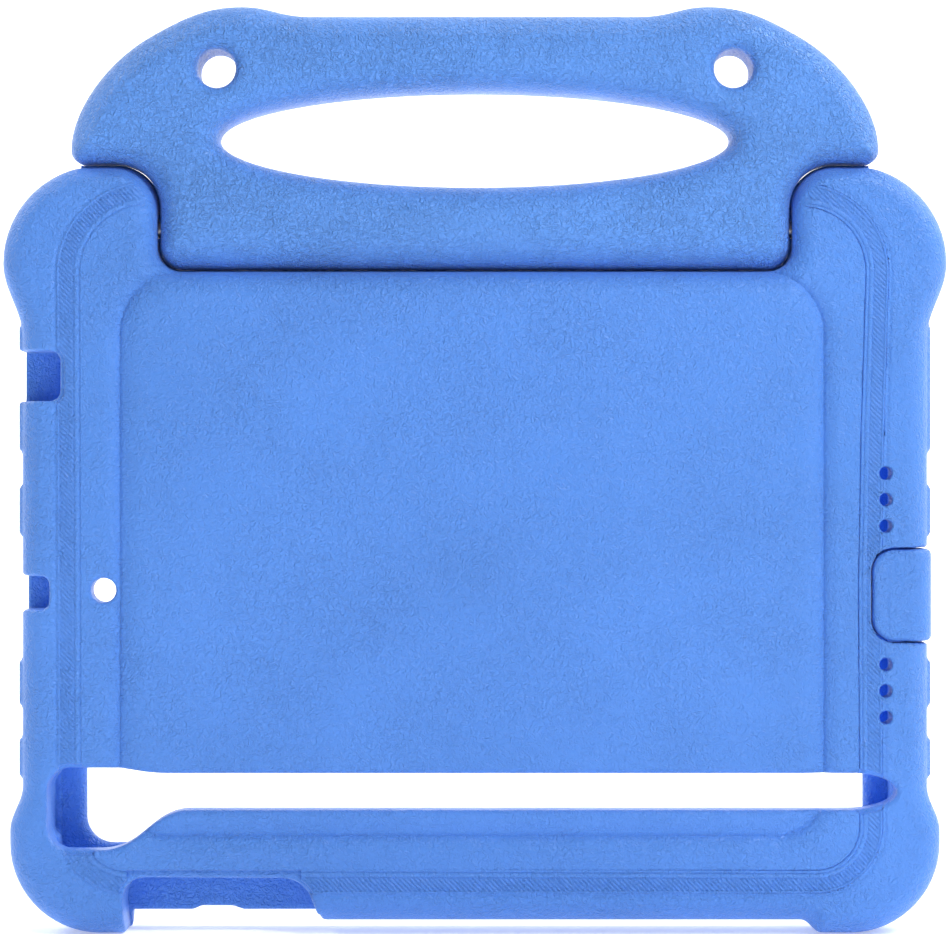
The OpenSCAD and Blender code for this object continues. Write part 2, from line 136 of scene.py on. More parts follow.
BAND_HATCH = 1.55           # half width of the ribbed part of the band
BAND_IN = 3.5               # from its middle to the channel's inner edge
BAND_OUT = 2.0              # from its middle to the channel's outer edge
BAND_PITCH = 1.2            # spacing of the ribs along an upright stretch
BAND_RIB = 0.36             # height of the ribs
BAND_DEPTH = 0.9            # depth of the channel that the band lies in
RASTER = 0.4                # spacing of the tables of distances
WEB_GAP = 0.14              # left between the seam's web and the handle
WEB_ROOT = -0.4             # how far the web is rooted in the case
WEB_Y = (0.5, 4.2)          # back and front of the web below the handle
WEB_SIDE_Y = 2.3            # front of the web beside the handle
PIN_ROOM = 2.15             # half height that the web leaves free for each hinge pin

# ---------------------------------------------------------------- outlines in X and Z


def arc(mid, r, start, end, step=6):
    """Points on an arc in degrees, with both ends."""
    count = max(2, math.ceil(abs(end - start) / step)) + 1
    angles = np.radians(np.linspace(start, end, count))
    return [(mid[0] + r * math.cos(a), mid[1] + r * math.sin(a)) for a in angles]


def step_up(a, b, count=12):
    """A smooth step from a to b whose ends run along Z, without its two ends."""
    ts = np.arange(1, count) / count
    return [(a[0] + (b[0] - a[0]) * (1 - math.cos(math.pi * t)) / 2, a[1] + (b[1] - a[1]) * t) for t in ts]


def step_along(a, b, count=12):
    """The same step with ends that run along X."""
    ts = np.arange(1, count) / count
    return [(a[0] + (b[0] - a[0]) * t, a[1] + (b[1] - a[1]) * (1 - math.cos(math.pi * t)) / 2) for t in ts]


def cubic(a, b, c, d, count=14):
    """Points on a cubic curve, without its first point."""
    points = []
    for t in np.arange(1, count + 1) / count:
        u = 1 - t
        weights = (u ** 3, 3 * u * u * t, 3 * u * t * t, t ** 3)
        points.append(tuple(sum(w * p[i] for w, p in zip(weights, (a, b, c, d))) for i in (0, 1)))
    return points


def both_halves(right):
    """A closed outline from its right half, which runs up from the bottom."""
    return right + [(-x, z) for x, z in reversed(right)]


def round_box(low, high, r):
    return (
        arc((high[0] - r, low[1] + r), r, -90, 0)
        + arc((high[0] - r, high[1] - r), r, 0, 90)
        + arc((low[0] + r, high[1] - r), r, 90, 180)
        + arc((low[0] + r, low[1] + r), r, 180, 270)
    )


notch_x = STEM_X + SEAM
notch_top = (notch_x + NOTCH_TOP_R, SHOULDER_Z - NOTCH_TOP_R)
stem_corner = (STEM_X - STEM_CORNER_R, SEAM_Z + STEM_CORNER_R)
bumper_mid_x = LOWER_BUMPER_X - LOWER_BUMPER_R
foot_x = 84.5

CASE_OUTLINE = both_halves(
    [(foot_x - 5, BOTTOM_Z)]
    + step_along((foot_x - 5, BOTTOM_Z), (foot_x, 0))
    + arc((bumper_mid_x, LOWER_BUMPER_R), LOWER_BUMPER_R, -90, 0)
    + [(LOWER_BUMPER_X, LOWER_BUMPER_R + 3)]
    + step_up((LOWER_BUMPER_X, LOWER_BUMPER_R + 3), (WALL_X, LOWER_BUMPER_R + 14))
    + [(WALL_X, LOWER_BUMPER_R + 14), (WALL_X, 145)]
    + step_up((WALL_X, 145), (BUMPER_X, SHOULDER_Z - UPPER_BUMPER_R))
    + arc((BUMPER_X - UPPER_BUMPER_R, SHOULDER_Z - UPPER_BUMPER_R), UPPER_BUMPER_R, 0, 90)
    + arc(notch_top, NOTCH_TOP_R, 90, 180)
    + arc(stem_corner, STEM_CORNER_R + SEAM, 0, -90)
)

HANDLE_OUTLINE = both_halves(
    arc(stem_corner, STEM_CORNER_R, -90, 0)
    + arc(notch_top, NOTCH_TOP_R + SEAM, 180, 90)
    + arc((WING_X - WING_CORNER_R, SHOULDER_Z + SEAM + WING_CORNER_R), WING_CORNER_R, -90, 0)
    + cubic((WING_X, 191.2), (WING_X, 200.2), (90.5, 212.6), (78.6, 219.2))
    + cubic((78.6, 219.2), (71.5, 223.1), (66, HUMP_Z), (57, HUMP_Z))
    + cubic((57, HUMP_Z), (50, HUMP_Z), (48, GRIP_TOP_Z), (40, GRIP_TOP_Z))
)

FINGER_OUTLINE = [
    (FINGER[0] * math.cos(a), FINGER[2] + FINGER[1] * math.sin(a))
    for a in np.linspace(0, 2 * math.pi, 72, endpoint=False)
]

PANEL_OUTLINE = (
    arc((PANEL[1] - 11, PANEL[2] + 11), 11, -90, 0)
    + arc((PANEL[1] - 15.3, 146), 15.3, 0, 90)
    + arc((PANEL[0] + 15.3, 146), 15.3, 90, 180)
    + arc((PANEL[0] + 11, PANEL[2] + 11), 11, 180, 270)
)

LOBE = (-103.6, 20.7, 40.6, 5.5)     # left, bottom, top and corner radius of the camera's lobe
NOSE = (91.0, 11.3)                  # middle of the slot's right end and its length

SLOT_OUTLINE = (
    arc((LOBE[0] + LOBE[3], LOBE[1] + LOBE[3]), LOBE[3], 180, 270)
    + [(-91.0, LOBE[1])]
    + cubic((-91.0, LOBE[1]), (-80.5, LOBE[1]), (-79.0, SLOT_Z - SLOT_HALF), (-69.0, SLOT_Z - SLOT_HALF))
    + [
        (NOSE[0] + NOSE[1] * math.cos(a), SLOT_Z + SLOT_HALF * math.sin(a))
        for a in np.linspace(-math.pi / 2, math.pi / 2, 25)
    ]
    + [(-74.0, SLOT_Z + SLOT_HALF)]
    + cubic((-74.0, SLOT_Z + SLOT_HALF), (-81.0, SLOT_Z + SLOT_HALF), (-83.0, LOBE[2]), (-90.0, LOBE[2]))
    + arc((LOBE[0] + LOBE[3], LOBE[2] - LOBE[3]), LOBE[3], 90, 180)
)

SOCKET_OUTLINE = round_box((-125, 129.6), (-100.6, 141.8), 2.6)
SIDE_MIC_OUTLINE = round_box((-125, 78.9), (-103.2, 87.2), 2.2)
VOLUME_OUTLINE = (
    [(-84.2, -6), (-85.6, 8.2)]
    + cubic((-85.6, 8.2), (-85.3, 12.0), (-83.4, 13.9), (-79.8, 14.0), 8)
    + [(-46.5, 13.8)]
    + cubic((-46.5, 13.8), (-43.2, 13.6), (-40.6, 11.6), (-39.4, 8.2), 8)
    + [(-34.5, -6)]
)

FLAP_OUTLINE = round_box(
    (FLAP_X, FLAP_MID_Z - FLAP_HALF_H), (FLAP_X + 40, FLAP_MID_Z + FLAP_HALF_H), 5.5
)
FLAP_SECTION = (
    [(FLAP_X - 2, POCKET_Y[0] - 0.4), (FLAP_X - 2, -HALF_T + 0.5)]
    + arc((FLAP_OUT_X - 4.8, -HALF_T + 5.3), 4.8, -90, 0)
    + arc((flap_hinge[0], flap_hinge[1]), FLAP_OUT_X - flap_hinge[0], 0, 180)
    + [(flap_hinge[0] - 2, FLAP_DEPTH_Y - FLAP_GAP), (POCKET_X + 2.2, FLAP_DEPTH_Y - 2 * FLAP_GAP)]
    + [(POCKET_X + 1.6, POCKET_Y[0] - 0.4)]
)

# Middle line of the ribbed band, from the left shoulder round the bottom to the right one.
BAND_PATH = (
    arc((-79.3, 160.7), 19.8, 92, 180, 2)
    + arc((-84.2, 26.9), 14.5, 180, 270, 2)
    + arc((82.5, 26.6), 14.2, -90, 0, 2)
    + [(96.4, 85), (97.0, 122)]
    + arc((78.8, 160.9), 19.4, 0, 88, 2)
)

# ---------------------------------------------------------------- signed distances


def exact_distance(points, x, z):
    """Signed distance from places in X and Z to a closed outline, negative inside."""
    ring = np.array(points, float)
    ring = ring[np.linalg.norm(ring - np.roll(ring, 1, axis=0), axis=1) > 1e-6]
    best = np.full(x.shape, 1e9)
    inside = np.zeros(x.shape, bool)
    for (ax, az), (bx, bz) in zip(ring, np.roll(ring, -1, axis=0)):
        dx, dz = bx - ax, bz - az
        px, pz = x - ax, z - az
        t = np.clip((px * dx + pz * dz) / (dx * dx + dz * dz), 0, 1)
        best = np.minimum(best, (px - t * dx) ** 2 + (pz - t * dz) ** 2)
        if dz != 0:
            inside ^= ((az > z) != (bz > z)) & (px < dx * pz / dz)
    return np.where(inside, -1, 1) * np.sqrt(best)


def outline_field(points):
    """A fast lookup of that distance, from a raster made once."""
    xs = np.arange(-130, 131, RASTER)
    zs = np.arange(-16, 238, RASTER)
    table = exact_distance(points, *np.meshgrid(xs, zs, indexing="ij"))

    def field(x, z):
        x, z = np.broadcast_arrays(x, z)
        u = np.clip((x - xs[0]) / RASTER, 0, len(xs) - 1.001)
        v = np.clip((z - zs[0]) / RASTER, 0, len(zs) - 1.001)
        i, j = u.astype(int), v.astype(int)
        u, v = u - i, v - j
        low = table[i, j] * (1 - u) + table[i + 1, j] * u
        high = table[i, j + 1] * (1 - u) + table[i + 1, j + 1] * u
        return low * (1 - v) + high * v

    return field


def smooth_max(a, b, k):
    h = np.maximum(k - np.abs(a - b), 0) / k
    return np.maximum(a, b) + h * h * k / 4


def smooth_min(a, b, k):
    return -smooth_max(-a, -b, k)


def ease(t):
    t = np.clip(t, 0, 1)
    return t * t * (3 - 2 * t)


def slab(d, y, half, r, sink=0):
    """A plate of the given outline distance with edges rounded by r, its back sunk by sink."""
    across = d + r
    through = np.where(y < 0, -y - half + sink, y - half) + r
    outside = np.hypot(np.maximum(across, 0), np.maximum(through, 0))
    return np.minimum(np.maximum(across, through), 0) + outside - r


def cut(solid, tool, k):
    """Takes a tool out of a solid and leaves an edge rounded by about k."""
    return smooth_max(solid, -tool, k)


def round_hole(x, z, mid_x, mid_z, r):
    return np.hypot(x - mid_x, z - mid_z) - r


case_2d = outline_field(CASE_OUTLINE)
handle_2d = outline_field(HANDLE_OUTLINE)
finger_2d = outline_field(FINGER_OUTLINE)
panel_2d = outline_field(PANEL_OUTLINE)
slot_2d = outline_field(SLOT_OUTLINE)
socket_2d = outline_field(SOCKET_OUTLINE)
side_mic_2d = outline_field(SIDE_MIC_OUTLINE)
volume_2d = outline_field(VOLUME_OUTLINE)
flap_2d = outline_field(FLAP_OUTLINE)
flap_xy = outline_field(FLAP_SECTION)
band_2d = outline_field(BAND_PATH)
pocket_2d = outline_field(round_box((-POCKET_X, POCKET_Z[0]), (POCKET_X, POCKET_Z[1]), POCKET_R))
window_2d = outline_field(round_box(
    (LIP - POCKET_X, POCKET_Z[0] + LIP), (POCKET_X - LIP, POCKET_Z[1] - LIP), WINDOW_R
))


def back_sink(x, z):
    """How far the back surface lies below its highest level: the panel's crease and the lines."""
    panel = panel_2d(x, z)
    inner = CREASE * np.clip(1 + panel / 6.5, 0, 1) ** 2
    outer = 0.12 + (CREASE - 0.12) * np.clip(1 - panel / 4.2, 0, 1) ** 2
    sink = np.where(panel < 0, inner, outer)
    sink = sink + 0.22 * np.exp(-(panel / 0.45) ** 2)
    line = band_2d(x, z) - 2.75
    return sink + 0.25 * np.exp(-(line / 0.45) ** 2)


def cutout_2d(x, z):
    """Distance to the nearest opening in the back that ends the band, or to the notch."""
    nearest = np.minimum(slot_2d(x, z), socket_2d(x, z))
    nearest = np.minimum(nearest, side_mic_2d(x, z))
    nearest = np.minimum(nearest, volume_2d(x, z))
    return np.minimum(nearest, -(case_2d(x, z) + 1.0))


def passed_2d(x, z):
    """Distance to the openings that the band passes by: the flap's and the speaker holes."""
    nearest = flap_2d(x, z) - FLAP_GAP
    for rise in SPEAKER_RISES:
        offset = np.abs(z - FLAP_MID_Z) - rise
        nearest = np.minimum(nearest, np.hypot(x - SPEAKER_X, offset) - SPEAKER_R - 0.25)
    return nearest


def wing_sweep(x, y, z):
    """The space behind the shoulders that the wings sweep. Below the hinge line the rounded rim
    is already clear of them."""
    side = np.abs(x)
    reach = np.clip(NOTCH_TOP_R ** 2 - (notch_top[0] - side) ** 2, 0, None)
    floor = np.where(side < notch_top[0], notch_top[1] + np.sqrt(reach), SHOULDER_Z) - hinge_z
    swept = (floor + 0.02 - np.hypot(y, z - hinge_z)) * 0.6
    ends = np.maximum(side - WING_X - SEAM, hinge_z - z)
    return np.maximum(np.maximum(swept, y), np.maximum(ends, notch_x - side))


def grip_pads(x, y, z):
    """Low pads with round ends on both side walls."""
    best = np.full(np.broadcast(x, y, z).shape, 1e9)
    for low, high in GRIP_PADS:
        px = np.abs(np.abs(x) - WALL_X) - GRIP_CORE
        py = np.abs(y) - GRIP_HALF_Y
        pz = np.abs(z - (low + high) / 2) - (high - low) / 2 + GRIP_R
        flat = np.hypot(np.maximum(py, 0), np.maximum(pz, 0)) + np.minimum(np.maximum(py, pz), 0)
        best = np.minimum(best, np.hypot(np.maximum(px, 0), np.maximum(flat, 0)) - GRIP_R)
    return best


def cut_channel(solid, x, y, z, outline, sink):
    """The channel that the ribbed band lies in."""
    band = band_2d(x, z)
    channel = np.maximum(band - BAND_OUT, -band - BAND_IN)
    channel = np.maximum(channel, 0.6 - passed_2d(x, z))
    channel = np.maximum(channel, outline + 0.9)
    return cut(solid, np.maximum(channel, y + HALF_T - sink - BAND_DEPTH), 0.25)


def cut_pocket(solid, x, y, z):
    """The tablet's pocket and the window over its screen."""
    pocket = np.maximum(pocket_2d(x, z), np.maximum(POCKET_Y[0] - y, y - POCKET_Y[1]))
    window = np.maximum(window_2d(x, z), POCKET_Y[1] - 1 - y)
    solid = cut(solid, pocket, 0.6)
    return cut(solid, window, 3.5)


def cut_openings(solid, x, y, z, back):
    """The slot through the back, and the cut-outs that leave the front lip in place."""
    lip = y - LIP_Y
    behind = np.maximum(BEHIND_Y - y, lip)
    lip_mid, lip_half, lip_top = VOLUME_LIP
    solid = cut(solid, np.maximum(slot_2d(x, z), back), 1.6)
    solid = cut(solid, np.maximum(round_box_at(x, z, *CAMERA_HOLLOW), lip), 0.6)
    solid = cut(solid, np.maximum(socket_2d(x, z), lip), 1.0)
    solid = cut(solid, np.maximum(side_mic_2d(x, z), lip), 1.0)
    solid = cut(solid, np.maximum(volume_2d(x, z), lip), 1.2)
    solid = cut(solid, np.maximum(round_box_at(x, z, *SIDE_MIC_HOLLOW), behind), 0.5)
    solid = cut(solid, np.maximum(round_box_at(x, z, *VOLUME_HOLLOW), behind), 0.5)
    return cut(solid, np.maximum(np.abs(x - lip_mid) - lip_half, z - lip_top - bump_of_lip(x)), 1.0)


def cut_sound_holes(solid, x, z, back):
    """The round microphone hole, and the speaker holes above and below the flap."""
    solid = cut(solid, np.maximum(round_hole(x, z, *MIC_HOLE), back), 1.6)
    for side in (-1, 1):
        for rise in SPEAKER_RISES:
            hole = round_hole(x, z, SPEAKER_X, FLAP_MID_Z + side * rise, SPEAKER_R)
            solid = cut(solid, np.maximum(hole, back), 0.5)
    return solid


def cut_hinges(solid, x, y, z):
    """Room for the flap and its hinge, and the sockets of the handle's sleeves."""
    opening = np.maximum(flap_2d(x, z) - FLAP_GAP, y - FLAP_DEPTH_Y)
    barrel = np.hypot(x - flap_hinge[0], y - flap_hinge[1]) - FLAP_BARREL_ROOM_R
    beside = np.maximum(flap_hinge[0] - 0.5 - x, y - flap_hinge[1] - 2.2)
    beside = np.maximum(beside, flap_hinge[1] - 4 - y)
    height = np.abs(z - FLAP_MID_Z) - FLAP_HALF_H - FLAP_GAP
    opening = np.minimum(opening, np.maximum(np.minimum(barrel, beside), height))
    solid = cut(solid, opening, 0.6)
    sleeve_r, sleeve_x, sleeve_half = SLEEVE_ROOM
    across = np.abs(np.abs(x) - sleeve_x) - sleeve_half
    return cut(solid, np.maximum(np.hypot(y, z - hinge_z) - sleeve_r, across), 0.3)


def case_field(x, y, z):
    outline = case_2d(x, z)
    sink = back_sink(x, z)
    back = y - POCKET_Y[0] - 1
    solid = slab(outline, y, HALF_T, CASE_RIM, sink)
    solid = smooth_min(solid, grip_pads(x, y, z), 1.0)
    solid = cut(solid, wing_sweep(x, y, z), 0.3)
    solid = cut_channel(solid, x, y, z, outline, sink)
    solid = cut_pocket(solid, x, y, z)
    solid = cut_openings(solid, x, y, z, back)
    solid = cut_sound_holes(solid, x, z, back)
    return cut_hinges(solid, x, y, z)


def round_box_at(x, z, mid, half, r):
    """Signed distance to a rounded box in X and Z."""
    px = np.abs(x - mid[0]) - half[0] + r
    pz = np.abs(z - mid[1]) - half[1] + r
    return np.minimum(np.maximum(px, pz), 0) + np.hypot(np.maximum(px, 0), np.maximum(pz, 0)) - r


def bump_of_lip(x):
    """The low hump in the front lip's lower edge, under the volume buttons."""
    return 0.9 * ease((x + 70) / 3) * ease((-57 - x) / 3)


def flap_field(x, y, z):
    shape = smooth_max(flap_xy(x, y), flap_2d(x, z), 1.6)
    face = -HALF_T + 0.15 - y + FLAP_LINE[0] * np.exp(-((x - SPEAKER_X - 0.6) / FLAP_LINE[1]) ** 2)
    return smooth_max(shape, face, 0.4)


def handle_field(x, y, z):
    outline = handle_2d(x, z)
    solid = slab(outline, y, HANDLE_HALF_T, HANDLE_RIM)
    # the lower end is the outline revolved about the hinge line, so that it turns in the notch
    turned = handle_2d(*np.broadcast_arrays(x, hinge_z - np.hypot(y, z - hinge_z)))
    solid = np.where(z < hinge_z, np.maximum(solid, turned), solid)
    solid = cut(solid, finger_2d(x, z), 8.5)
    for side in (-1, 1):
        solid = cut(solid, round_hole(x, z, side * STRAP_HOLE[0], STRAP_HOLE[1], STRAP_HOLE[2]), 4.0)
    return solid


# ---------------------------------------------------------------- surface nets


def spaced(*stretches):
    """Grid lines from stretches of (start, end, spacing)."""
    lines = []
    for start, end, gap in stretches:
        count = max(1, round((end - start) / gap))
        lines.extend(np.linspace(start, end, count, endpoint=False))
    lines.append(stretches[-1][1])
    return np.array(lines)


def surface_net(values, axes):
    """Points and quads on the zero surface of a field sampled on a grid."""
    inside = values < 0
    sizes = values.shape
    offsets = [(i, j, k) for i in (0, 1) for j in (0, 1) for k in (0, 1)]
    count = np.zeros([n - 1 for n in sizes], np.int8)
    for i, j, k in offsets:
        count += inside[i:sizes[0] - 1 + i, j:sizes[1] - 1 + j, k:sizes[2] - 1 + k]
    active = (count > 0) & (count < 8)
    index = np.full(active.shape, -1)
    index[active] = np.arange(active.sum())
    cells = np.array(np.nonzero(active))
    total = np.zeros((cells.shape[1], 3))
    hits = np.zeros(cells.shape[1])
    for a in offsets:
        for axis in range(3):
            if a[axis]:
                continue
            b = tuple(1 if i == axis else a[i] for i in range(3))
            at_a = tuple(cells[i] + a[i] for i in range(3))
            at_b = tuple(cells[i] + b[i] for i in range(3))
            va, vb = values[at_a], values[at_b]
            crossed = (va < 0) != (vb < 0)
            share = np.where(crossed, va / np.where(crossed, va - vb, 1), 0)
            pa = np.stack([axes[i][at_a[i]] for i in range(3)], axis=1)
            pb = np.stack([axes[i][at_b[i]] for i in range(3)], axis=1)
            total += crossed[:, None] * (pa + share[:, None] * (pb - pa))
            hits += crossed
    quads = []
    for axis in range(3):
        u, v = (axis + 1) % 3, (axis + 2) % 3
        low, high = [slice(None)] * 3, [slice(None)] * 3
        low[axis], high[axis] = slice(0, -1), slice(1, None)
        for other in (u, v):
            low[other] = high[other] = slice(1, -1)
        start, end = inside[tuple(low)], inside[tuple(high)]
        edges = np.array(np.nonzero(start != end))
        outward = start[tuple(edges)]
        corners = []
        for du, dv in ((0, 0), (1, 0), (1, 1), (0, 1)):
            at = [edges[i].copy() for i in range(3)]
            at[u] += du
            at[v] += dv
            corners.append(index[tuple(at)])
        faces = np.stack(corners, axis=1)
        faces[~outward] = faces[~outward][:, ::-1]
        quads.append(faces)
    return total / hits[:, None], np.concatenate(quads)


def slope(field, points):
    """Value and gradient of a field at points, from four samples round each."""
    gap = 0.04
    value = np.zeros(len(points))
    grad = np.zeros_like(points)
    for k in ((1, -1, -1), (-1, -1, 1), (-1, 1, -1), (1, 1, 1)):
        k = np.array(k, float)
        sample = field(*(points + gap * k).T)
        value += sample / 4
        grad += sample[:, None] * k / (4 * gap)
    return value, grad


def settle(points, field, rounds):
    """Moves points onto the zero surface of a field."""
    for _ in range(rounds):
        value, grad = slope(field, points)
        move = value[:, None] * grad / np.maximum((grad ** 2).sum(1), 0.05)[:, None]
        length = np.linalg.norm(move, axis=1)
        points = points - move * np.minimum(1, 0.5 / np.maximum(length, 1e-9))[:, None]
    return points


def new_object(name, points, faces):
    mesh = bpy.data.meshes.new(name)
    mesh.from_pydata((points * MM).tolist(), [], faces)
    mesh.validate()
    piece = bpy.data.objects.new(name, mesh)
    bpy.context.scene.collection.objects.link(piece)
    return piece


def thin_out(piece, most):
    """Leaves at most that many triangles, and spends them where the surface bends."""
    triangles = 2 * len(piece.data.polygons)
    if triangles <= most:
        return
    shrink = piece.modifiers.new("thin_out", "DECIMATE")
    shrink.ratio = most / triangles
    graph = bpy.context.evaluated_depsgraph_get()
    mesh = bpy.data.meshes.new_from_object(piece.evaluated_get(graph))
    piece.modifiers.clear()
    piece.data = mesh


def moulding(name, field, axes, most):
    """A closed foam piece from its signed distance."""
    x, y, z = axes
    values = field(x[:, None, None], y[None, :, None], z[None, None, :])
    values = np.where(values == 0, 1e-6, values)
    points, faces = surface_net(values, axes)
    points = settle(points, field, 3)
    piece = new_object(name, points, faces.tolist())
    thin_out(piece, most)
    mesh = piece.data
    points = np.zeros(len(mesh.vertices) * 3)
    mesh.vertices.foreach_get("co", points)
    points = settle(points.reshape(-1, 3) / MM, field, 1)
    mesh.vertices.foreach_set("co", (points * MM).ravel())
    mesh.shade_smooth()
    normals = slope(field, points)[1]
    normals /= np.maximum(np.linalg.norm(normals, axis=1), 1e-9)[:, None]
    mesh.normals_split_custom_set_from_vertices(normals.tolist())
    return piece


# ---------------------------------------------------------------- the ribbed band


def band_line(spacing):
    """Points and outward normals along the band's middle line, evenly spaced."""
    corners = np.array(BAND_PATH)
    gaps = np.linalg.norm(np.diff(corners, axis=0), axis=1)
    along = np.concatenate([[0], np.cumsum(gaps)])
    count = int(along[-1] / spacing)
    at = np.linspace(0, along[-1], count)
    line = np.stack([np.interp(at, along, corners[:, i]) for i in (0, 1)], axis=1)
    run = np.gradient(line, axis=0)
    run /= np.linalg.norm(run, axis=1)[:, None]
    return line, np.stack([-run[:, 1], run[:, 0]], axis=1) * -1


def band_section():
    """Places across the band, and how far each lies below the back surface."""
    inner = [(-3.8, 0.5), (-3.6, 0.08), (-3.35, -0.05), (-3.1, -0.02), (-2.95, 0.2), (-2.75, 0.2)]
    land = [(-2.6, -0.02), (-2.1, -0.03), (-1.8, 0.0), (-1.65, 0.24)]
    hatch = [(u, 0.32) for u in np.linspace(-BAND_HATCH, BAND_HATCH, 13)]
    outer = [(1.68, 0.0), (1.85, -0.07), (2.05, 0.0), (2.2, 0.2), (2.3, 0.5)]
    return np.array(inner + land + hatch + outer).T


def back_level(x, z):
    """Y of the back surface, found by stepping in from behind it."""
    outline = case_2d(x, z)
    sink = back_sink(x, z)
    y = np.full(x.shape, -HALF_T - 0.2)
    for _ in range(16):
        solid = slab(outline, y, HALF_T, CASE_RIM, sink)
        y = y + 0.8 * smooth_max(solid, -wing_sweep(x, y, z), 0.3)
    return y


def clear_of_openings(x, z):
    """Places moved out of the openings that end the band, then left of those that it passes by."""
    step = RASTER
    for _ in range(7):
        near = np.clip(0.45 - cutout_2d(x, z), 0, 2)
        across = (cutout_2d(x + step, z) - cutout_2d(x - step, z)) / (2 * step)
        up = (cutout_2d(x, z + step) - cutout_2d(x, z - step)) / (2 * step)
        x = x + near * across
        z = z + near * up
    for _ in range(5):
        x = x - np.clip(0.25 - passed_2d(x, z), 0, 3) * (x > 90)
    return x, z


def ribbed_band(name, first, last, line, normals):
    """One stretch of the band between two indices: a closed strip with slanting ribs."""
    across, depth = band_section()
    middle = line[first:last, None, :]
    out = normals[first:last, None, :]
    width = 1.02 - 0.09 * np.clip(middle[..., 0] / 90, -1, 1)
    x = middle[..., 0] + out[..., 0] * across * width
    z = middle[..., 1] + out[..., 1] * across * width
    moved_x, moved_z = clear_of_openings(x, z)
    squeezed = ease(np.hypot(x - moved_x, z - moved_z) / 0.3)
    x, z = moved_x, moved_z
    phase = (x + z) / BAND_PITCH
    saw = phase - np.floor(phase)
    rib = np.where(saw < 0.36, ease(saw / 0.36), ease((1 - saw) / 0.64))
    on_hatch = ease((BAND_HATCH + 0.1 - np.abs(across)) / 0.2)
    low = depth - BAND_RIB * rib * on_hatch + 0.7 * squeezed
    # where an opening or an edge comes close, the strip dips into the foam
    low = low + 1.2 * ease(1 - (cutout_2d(x, z) - 0.7) / 0.6)
    top = np.stack([x, back_level(x, z) + low, z], axis=2)
    under = top[:, [-1, 0], :].copy()
    under[:, :, 1] += 1.6
    rings = np.concatenate([top, under], axis=1)
    piece = new_object(name, rings.reshape(-1, 3), tube_faces(*rings.shape[:2]))
    piece.data.shade_smooth()
    return piece


def tube_faces(count, size):
    """Quads between closed rings of points, with an end face at the first and the last one."""
    i, j = np.meshgrid(np.arange(count - 1) * size, np.arange(size), indexing="ij")
    k = (j + 1) % size
    quads = np.stack([i + j, i + k, i + k + size, i + j + size], axis=2).reshape(-1, 4)
    ends = [tuple(range(size - 1, -1, -1)), tuple(range((count - 1) * size, count * size))]
    return quads.tolist() + ends


def stretches_of_band(line, clearance=0.2):
    """Runs of the band's line that lie clear of the openings."""
    free = cutout_2d(line[:, 0], line[:, 1]) > clearance
    edges = np.flatnonzero(np.diff(np.concatenate([[0], free.astype(int), [0]])))
    return [(a, b) for a, b in zip(edges[::2], edges[1::2]) if b - a > 20]


def seam_runs():
    """The case's edge along the seam from wing to wing, in three runs that leave the pins free."""
    right = CASE_OUTLINE[:len(CASE_OUTLINE) // 2]
    start = next(i for i, p in enumerate(right) if p[1] >= SHOULDER_Z - 0.01)
    edge = [(WING_X - 2, SHOULDER_Z)] + [p for p in right[start:] if p[0] < WING_X - 3]
    above = [p for p in edge if p[1] > hinge_z + PIN_ROOM] + [(notch_x, hinge_z + PIN_ROOM)]
    below = [(notch_x, hinge_z - PIN_ROOM)] + [p for p in edge if p[1] < hinge_z - PIN_ROOM]
    mirrored = [[(-x, z) for x, z in reversed(run)] for run in (above, below)]
    return above, below + mirrored[1], mirrored[0]


def seam_web(name, run):
    """A thin web of foam on the case that closes the seam, clear of the handle all round."""
    corners = np.array(run)
    gaps = np.linalg.norm(np.diff(corners, axis=0), axis=1)
    corners = corners[np.concatenate([[True], gaps > 1e-6])]
    along = np.gradient(corners, axis=0)
    along /= np.linalg.norm(along, axis=1)[:, None]
    out = np.stack([along[:, 1], -along[:, 0]], axis=1)
    under = np.clip((stem_corner[1] - corners[:, 1]) / STEM_CORNER_R, 0, 1)
    # below the handle the web's top follows the half round of the handle's lower end
    turn_r = hinge_z - SEAM_Z
    section = [(WEB_ROOT, WEB_Y[0])]
    section += [(SEAM - WEB_GAP, y) for y in np.linspace(WEB_Y[0], WEB_Y[1], 9)]
    section += [(WEB_ROOT, WEB_Y[1])]
    rings = []
    for reach, y in section:
        depth = np.where(under > 0, y, min(y, WEB_SIDE_Y))
        rise = (turn_r - np.sqrt(turn_r ** 2 - depth ** 2)) * under if reach > 0 else 0 * under
        at = corners + out * (reach + rise)[:, None]
        rings.append(np.stack([at[:, 0], depth, at[:, 1]], axis=1))
    rings = np.stack(rings, axis=1)
    return new_object(name, rings.reshape(-1, 3), tube_faces(*rings.shape[:2]))


# ---------------------------------------------------------------- materials


def new_material(name):
    material = bpy.data.materials.new(name)
    material.use_nodes = True
    tree = material.node_tree
    return material, tree, tree.nodes["Principled BSDF"]


def add(tree, kind, **sockets):
    node = tree.nodes.new(kind)
    for key, value in sockets.items():
        node.inputs[key.replace("_", " ")].default_value = value
    return node


